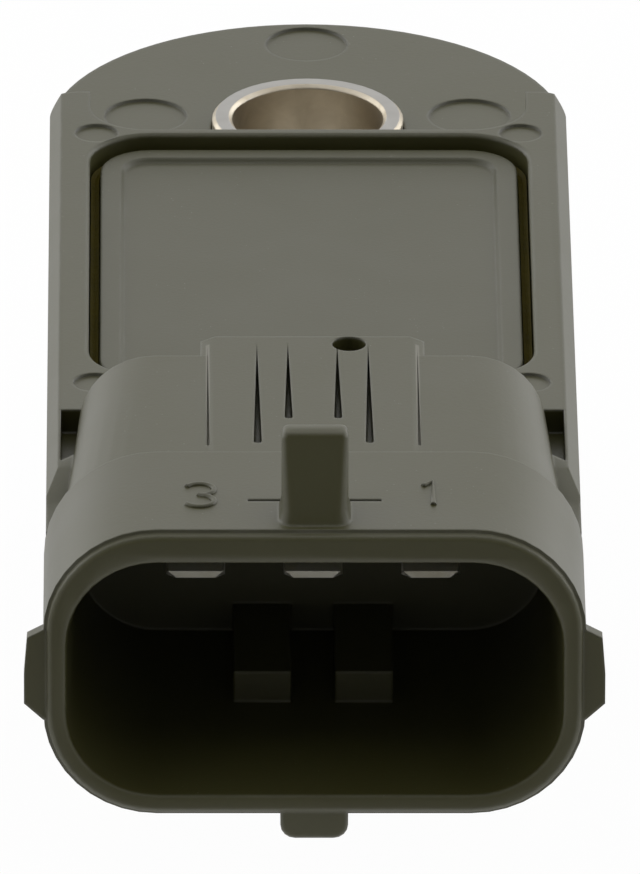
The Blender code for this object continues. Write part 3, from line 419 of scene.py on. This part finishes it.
def bush_steel(groups):
    """Turned steel with a thin plating and dull patches. Its end faces are ground."""
    made, tree, shader = new_finish("bush steel")
    rings = use_group(tree, groups["rings"], Centre=BUSH_PLACE, Pitch=0.07 * MM)
    grain = use_group(tree, groups["grain"], Grain_Size=0.1 * MM, Cloud_Size=1.4 * MM)
    wear_and_highlight = use_group(tree, groups["wear_and_highlight"], Radius=0.12 * MM, Patch_Size=0.8 * MM)
    dull = mix_colors(tree, grain["Cloud"], (0.6, 0.545, 0.45, 1.0), (0.47, 0.415, 0.32, 1.0))
    facing = place(tree, "ShaderNodeSeparateXYZ")
    feed(tree, facing.inputs[0], place(tree, "ShaderNodeNewGeometry").outputs["Normal"])
    ground = remap(tree, calculate(tree, "ABSOLUTE", facing.outputs["Z"]), *GROUND_FACING)
    faced = mix_colors(tree, ground, dull, (0.36, 0.35, 0.33, 1.0))
    feed(tree, shader.inputs["Base Color"], mix_colors(tree, wear_and_highlight["Mask"], faced, (0.55, 0.53, 0.49, 1.0)))
    feed(tree, shader.inputs["Roughness"], remap(tree, grain["Cloud"], 0.0, 1.0, 0.3, 0.45))
    shader.inputs["Metallic"].default_value = 1.0
    bump(tree, shader, rings["Height"], 0.004 * MM, wear_and_highlight["Normal"])
    return made


def blade_tin(groups):
    """Tin-plated strip with rolling lines and a few stains."""
    made, tree, shader = new_finish("blade tin")
    lines = use_group(tree, groups["lines"], Pitch=0.07 * MM)
    wear_and_highlight = use_group(tree, groups["wear_and_highlight"], Radius=0.06 * MM, Patch_Size=0.7 * MM)
    stained = mix_colors(tree, lines["Stain"], (0.9, 0.88, 0.8, 1.0), (0.78, 0.73, 0.6, 1.0))
    feed(tree, shader.inputs["Base Color"], mix_colors(tree, wear_and_highlight["Mask"], stained, (0.86, 0.84, 0.8, 1.0)))
    feed(tree, shader.inputs["Roughness"], remap(tree, lines["Stain"], 0.0, 1.0, 0.42, 0.58))
    shader.inputs["Metallic"].default_value = 0.55
    bump(tree, shader, lines["Height"], 0.003 * MM, wear_and_highlight["Normal"])
    return made


def ring_rubber(groups):
    """Black rubber with a bloom and the fine seam of its mould."""
    made, tree, shader = new_finish("ring rubber")
    grain = use_group(tree, groups["grain"], Grain_Size=0.12 * MM, Cloud_Size=2.5 * MM)
    low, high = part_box("port_o_ring")
    height = place(tree, "ShaderNodeSeparateXYZ")
    feed(tree, height.inputs[0], part_coordinates(tree))
    above = calculate(tree, "SUBTRACT", height.outputs["Z"], (low.z + high.z) / 2)
    seam = remap(tree, calculate(tree, "ABSOLUTE", above), 0.05 * MM, 0.02 * MM)
    vary(
        tree, shader, grain["Cloud"],
        colors=((0.012, 0.012, 0.012, 1.0), (0.03, 0.03, 0.029, 1.0)),
        roughness=(0.45, 0.65),
    )
    relief = calculate(tree, "ADD", calculate(tree, "MULTIPLY", grain["Height"], 0.2), seam)
    bump(tree, shader, relief, 0.03 * MM)
    return made


def cell_steel(groups):
    """Plated sheet and header of the measuring cell."""
    made, tree, shader = new_finish("cell steel")
    rings = use_group(tree, groups["rings"], Centre=(0.0, 0.0, 0.0), Pitch=0.09 * MM)
    grain = use_group(tree, groups["grain"], Grain_Size=0.08 * MM, Cloud_Size=1.2 * MM)
    vary(
        tree, shader, grain["Cloud"],
        colors=((0.6, 0.59, 0.57, 1.0), (0.5, 0.49, 0.46, 1.0)),
        roughness=(0.22, 0.36),
    )
    shader.inputs["Metallic"].default_value = 1.0
    bump(tree, shader, rings["Height"], 0.003 * MM)
    return made


def cell_glass(groups):
    """Sealing glass with faint cloudiness."""
    made, tree, shader = new_finish("cell glass")
    grain = use_group(tree, groups["grain"], Grain_Size=0.1 * MM, Cloud_Size=0.5 * MM)
    vary(
        tree, shader, grain["Cloud"],
        colors=((0.2, 0.36, 0.3, 1.0), (0.32, 0.48, 0.42, 1.0)),
        roughness=(0.05, 0.14),
    )
    shader.inputs["Transmission Weight"].default_value = 0.6
    return made


def chip_silicon(groups):
    """Etched wafer with rectangular fields of conductors."""
    made, tree, shader = new_finish("chip silicon")
    grain = use_group(tree, groups["grain"], Grain_Size=0.05 * MM, Cloud_Size=0.4 * MM)
    fields = place(tree, "ShaderNodeTexBrick", {
        "Scale": 1.0, "Mortar Size": 0.04, "Brick Width": 0.5, "Row Height": 0.3,
        "Color1": (0.1, 0.09, 0.16, 1.0), "Color2": (0.16, 0.14, 0.2, 1.0), "Mortar": (0.55, 0.5, 0.42, 1.0),
    })
    feed(tree, fields.inputs["Vector"], divided(tree, part_coordinates(tree), 0.5 * MM))
    feed(tree, shader.inputs["Base Color"], fields.outputs["Color"])
    feed(tree, shader.inputs["Roughness"], remap(tree, grain["Cloud"], 0.0, 1.0, 0.15, 0.25))
    shader.inputs["Metallic"].default_value = 0.6
    return made


def bond_gold(groups):
    """Drawn gold wire."""
    made, tree, shader = new_finish("bond gold")
    lines = use_group(tree, groups["lines"], Pitch=0.02 * MM)
    feed(tree, shader.inputs["Base Color"], mix_colors(
        tree, lines["Stain"], (0.95, 0.68, 0.28, 1.0), (0.82, 0.55, 0.2, 1.0)
    ))
    feed(tree, shader.inputs["Roughness"], remap(tree, lines["Height"], 0.3, 0.7, 0.2, 0.32))
    shader.inputs["Metallic"].default_value = 1.0
    return made


def capacitor_ceramic(groups):
    """Fired ceramic body with plated ends."""
    made, tree, shader = new_finish("capacitor ceramic")
    grain = use_group(tree, groups["grain"], Grain_Size=0.06 * MM, Cloud_Size=0.6 * MM)
    across = place(tree, "ShaderNodeSeparateXYZ")
    feed(tree, across.inputs[0], part_coordinates(tree))
    outward = calculate(tree, "ABSOLUTE", across.outputs["X"])
    from_middle = calculate(tree, "ABSOLUTE", calculate(tree, "SUBTRACT", outward, BLADE_PITCH / 2))
    plated = remap(tree, from_middle, CAPACITOR_END - PLATING_EDGE, CAPACITOR_END)
    fired = mix_colors(tree, grain["Cloud"], (0.34, 0.25, 0.16, 1.0), (0.26, 0.18, 0.11, 1.0))
    feed(tree, shader.inputs["Base Color"], mix_colors(tree, plated, fired, (0.7, 0.69, 0.66, 1.0)))
    feed(tree, shader.inputs["Metallic"], plated)
    feed(tree, shader.inputs["Roughness"], remap(tree, grain["Speckle"], 0.0, 1.0, 0.3, 0.5))
    bump(tree, shader, grain["Height"], 0.004 * MM)
    return made


def shared_groups():
    """The node groups, each built once."""
    return {
        "grain": moulded_grain_group(),
        "wear_and_highlight": edge_wear_and_highlight_group(),
        "dust": settled_dust_group(),
        "rings": turned_rings_group(),
        "lines": drawn_lines_group(),
    }


def finishes():
    """Every finish, under the name of its slot in the record."""
    groups = shared_groups()
    return {
        "housing_plastic": housing_plastic(groups),
        "cover_plastic": cover_plastic(groups),
        "sealant": sealant_finish(groups),
        "bush_steel": bush_steel(groups),
        "blade_metal": blade_tin(groups),
        "ring_rubber": ring_rubber(groups),
        "cell_steel": cell_steel(groups),
        "cell_glass": cell_glass(groups),
        "chip_silicon": chip_silicon(groups),
        "bond_gold": bond_gold(groups),
        "capacitor_ceramic": capacitor_ceramic(groups),
    }


def dress_nodes(made):
    """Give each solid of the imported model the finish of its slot, and smooth its round faces."""
    rounding = smooth_faces_tree()
    for row in frame["record"]["subparts"]:
        solid = frame["nodes"][row["node"]]
        for holder in solid.material_slots:
            holder.material = made[row["material_slot"]]
        smooth_faces(solid, rounding)


# Smooth shading of the round faces

def smooth_faces_tree():
    """Geometry nodes that keep an edge sharp only where its faces meet at more than an angle."""
    tree = bpy.data.node_groups.new("smooth faces", "GeometryNodeTree")
    tree.interface.new_socket(name="Geometry", in_out="INPUT", socket_type="NodeSocketGeometry")
    tree.interface.new_socket(name="Geometry", in_out="OUTPUT", socket_type="NodeSocketGeometry")
    bend = place(tree, "GeometryNodeInputMeshEdgeAngle").outputs["Unsigned Angle"]
    shade = place(tree, "GeometryNodeSetShadeSmooth", domain="EDGE")
    feed(tree, shade.inputs["Geometry"], place(tree, "NodeGroupInput").outputs[0])
    feed(tree, shade.inputs["Shade Smooth"], calculate(tree, "LESS_THAN", bend, SMOOTH_ANGLE))
    feed(tree, place(tree, "NodeGroupOutput").inputs[0], shade.outputs[0])
    return tree


def smooth_faces(solid, tree):
    """Join a solid's facets in shading only. Its points stay where they are."""
    mesh = solid.data
    if "custom_normal" in mesh.attributes:
        mesh.attributes.remove(mesh.attributes["custom_normal"])
    mesh.shade_smooth()
    weld = solid.modifiers.new("weld", "WELD")
    weld.merge_threshold = WELD_DISTANCE
    solid.modifiers.new("smooth faces", "NODES").node_group = tree
    weighted = solid.modifiers.new("weighted normals", "WEIGHTED_NORMAL")
    weighted.keep_sharp = True


# Pin numbers beside the latch nose

def stroke_curve(name, strokes, centre):
    """Raised half-round strokes on top of the collar, from lists of points."""
    curve = bpy.data.curves.new(name, "CURVE")
    curve.dimensions = "3D"
    curve.bevel_depth = NUMBER_STROKE / 2
    curve.bevel_resolution = 3
    curve.use_fill_caps = True
    height = COLLAR_TOP + NUMBER_RISE - NUMBER_STROKE / 2
    for points in strokes:
        spline = curve.splines.new("POLY")
        spline.points.add(len(points) - 1)
        for target, (x, y) in zip(spline.points, points):
            target.co = (centre[0] + x, centre[1] + y, height, 1.0)
    made = bpy.data.objects.new(name, curve)
    bpy.context.scene.collection.objects.link(made)
    return made


def bow(centre_y, start, end, steps=10):
    """Half an oval, as in the numeral 3. Angles are in degrees."""
    half_width = NUMBER_WIDTH / 2
    half_height = NUMBER_HEIGHT / 4
    points = []
    for step in range(steps + 1):
        angle = math.radians(start + (end - start) * step / steps)
        points.append((half_width * math.cos(angle), centre_y + half_height * math.sin(angle)))
    return points


def numeral_three():
    """Strokes of the 3: two bows in one line."""
    quarter = NUMBER_HEIGHT / 4
    return [bow(quarter, 150, -90) + bow(-quarter, 90, -150)[1:]]


def numeral_one():
    """Strokes of the 1, with its flag."""
    half = NUMBER_HEIGHT / 2
    flag = NUMBER_WIDTH / 3
    return [[(-flag, half - flag), (0.0, half), (0.0, -half)]]


def pin_numbers(plastic):
    """The generic numbers of the outer pins."""
    strokes = {"3": numeral_three(), "1": numeral_one()}
    for numeral, centre in NUMBER_PLACES.items():
        made = stroke_curve("pin_number_%s" % numeral, strokes[numeral], centre)
        made.data.materials.append(plastic)
        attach(made, "root")


# Studio

def seen_directly(tree):
    """Whether a ray comes from the camera, from gloss or through glass."""
    path = place(tree, "ShaderNodeLightPath").outputs
    seen = calculate(tree, "ADD", path["Is Camera Ray"], path["Is Glossy Ray"], clamp=True)
    return calculate(tree, "ADD", seen, path["Is Transmission Ray"], clamp=True)


def floor_finish():
    """Pale floor that reads as white and keeps the part's shadow."""
    made = bpy.data.materials.new("studio floor")
    made.use_nodes = True
    tree = made.node_tree
    tree.nodes.clear()
    lit = place(tree, "ShaderNodeBsdfDiffuse", {"Color": FLOOR_COLOR})
    glow = place(tree, "ShaderNodeEmission", {"Color": (1.0, 1.0, 1.0, 1.0), "Strength": 1.0})
    clear = place(tree, "ShaderNodeBsdfTransparent")
    share = calculate(tree, "MULTIPLY", seen_directly(tree), FLOOR_GLOW)
    pale = place(tree, "ShaderNodeMixShader")
    feed(tree, pale.inputs[0], share)
    feed(tree, pale.inputs[1], lit.outputs[0])
    feed(tree, pale.inputs[2], glow.outputs[0])
    sided = place(tree, "ShaderNodeMixShader")
    feed(tree, sided.inputs[0], place(tree, "ShaderNodeNewGeometry").outputs["Backfacing"])
    feed(tree, sided.inputs[1], pale.outputs[0])
    feed(tree, sided.inputs[2], clear.outputs[0])
    feed(tree, place(tree, "ShaderNodeOutputMaterial").inputs["Surface"], sided.outputs[0])
    return made


def sheet(name, centre, across, along):
    """A flat rectangle from its centre and its two half sides."""
    corners = [centre + a * across + b * along for a, b in ((-1, -1), (1, -1), (1, 1), (-1, 1))]
    mesh = bpy.data.meshes.new(name)
    mesh.from_pydata([tuple(corner) for corner in corners], [], [(0, 1, 2, 3)])
    made = bpy.data.objects.new(name, mesh)
    bpy.context.scene.collection.objects.link(made)
    return made


def floor():
    """The floor just below the part."""
    half = FLOOR_SIZE / 2
    centre = Vector((0.0, 0.0, cad_low.z - FLOOR_DROP))
    made = sheet("studio_floor", centre, Vector((half, 0.0, 0.0)), Vector((0.0, half, 0.0)))
    made.data.materials.append(floor_finish())


def flag(name, centre, across, along, color):
    """Cloth that the camera doesn't see."""
    cloth = bpy.data.materials.new(name)
    cloth.use_nodes = True
    shader = cloth.node_tree.nodes["Principled BSDF"]
    shader.inputs["Base Color"].default_value = color
    shader.inputs["Roughness"].default_value = CLOTH_ROUGHNESS
    shader.inputs["Specular IOR Level"].default_value = 0.0
    made = sheet(name, centre, across, along)
    made.data.materials.append(cloth)
    made.visible_camera = False
    return made


def flags():
    """Dark cloth behind the camera, and grey cloth on the floor that only shows in gloss."""
    flag(
        "front_flag",
        centre=Vector((0.0, -1.3, 1.15)),
        across=Vector((2.0, 0.0, 0.0)),
        along=Vector((0.0, 0.0, 1.1)),
        color=(0.14, 0.14, 0.13, 1.0),
    )
    low = flag(
        "floor_flag",
        centre=Vector((0.0, -0.55, cad_low.z + FLOOR_FLAG_RISE)),
        across=Vector((0.8, 0.0, 0.0)),
        along=Vector((0.0, 0.5, 0.0)),
        color=(0.28, 0.27, 0.23, 1.0),
    )
    low.visible_diffuse = False
    low.visible_shadow = False


def softbox(name, place_at, width, height, radiance):
    """Soft lamp aimed at the part, with the brightness that its white cloth shows."""
    lamp = bpy.data.lights.new(name, "AREA")
    lamp.shape = "RECTANGLE"
    lamp.size = width
    lamp.size_y = height
    lamp.energy = radiance * math.pi * width * height
    made = bpy.data.objects.new(name, lamp)
    made.location = place_at
    made.rotation_mode = "QUATERNION"
    made.rotation_quaternion = (-Vector(place_at)).to_track_quat("-Z", "Y")
    made.visible_camera = False
    bpy.context.scene.collection.objects.link(made)


def lamps():
    """A weak lamp behind the part, and one at each side."""
    softbox("back_softbox", (0.0, 0.75, 0.32), width=1.0, height=0.5, radiance=0.1)
    softbox("left_softbox", (-0.6, 0.36, 0.2), width=0.7, height=0.4, radiance=1.2)
    softbox("right_softbox", (0.6, 0.36, 0.2), width=0.7, height=0.4, radiance=1.2)


def surroundings():
    """White room all round."""
    world = bpy.data.worlds.new("white room")
    world.use_nodes = True
    background = world.node_tree.nodes["Background"]
    background.inputs["Color"].default_value = (1.0, 1.0, 1.0, 1.0)
    background.inputs["Strength"].default_value = 1.0
    bpy.context.scene.world = world


def camera():
    """Camera at the photograph's angle, with its long lens."""
    elevation = math.radians(CAMERA_ELEVATION)
    azimuth = math.radians(CAMERA_AZIMUTH)
    level = math.cos(elevation)
    back = Vector((math.sin(azimuth) * level, -math.cos(azimuth) * level, math.sin(elevation)))
    right = Vector((math.cos(azimuth), math.sin(azimuth), 0.0))
    up = right.cross(-back)
    aim = VIEW_POINT + AIM_RIGHT * right - AIM_DOWN * up
    lens = bpy.data.cameras.new("camera")
    lens.lens = LENS
    lens.sensor_width = SENSOR
    made = bpy.data.objects.new("camera", lens)
    made.location = VIEW_POINT + CAMERA_DISTANCE * back
    made.rotation_mode = "QUATERNION"
    look = (aim - made.location).to_track_quat("-Z", "Y")
    made.rotation_quaternion = look @ Quaternion((0.0, 0.0, 1.0), math.radians(CAMERA_ROLL))
    bpy.context.scene.collection.objects.link(made)
    bpy.context.scene.camera = made


bpy.context.scene.view_settings.view_transform = "Standard"
made_finishes = finishes()
dress_nodes(made_finishes)
pin_numbers(made_finishes["housing_plastic"])
floor()
flags()
lamps()
surroundings()
camera()
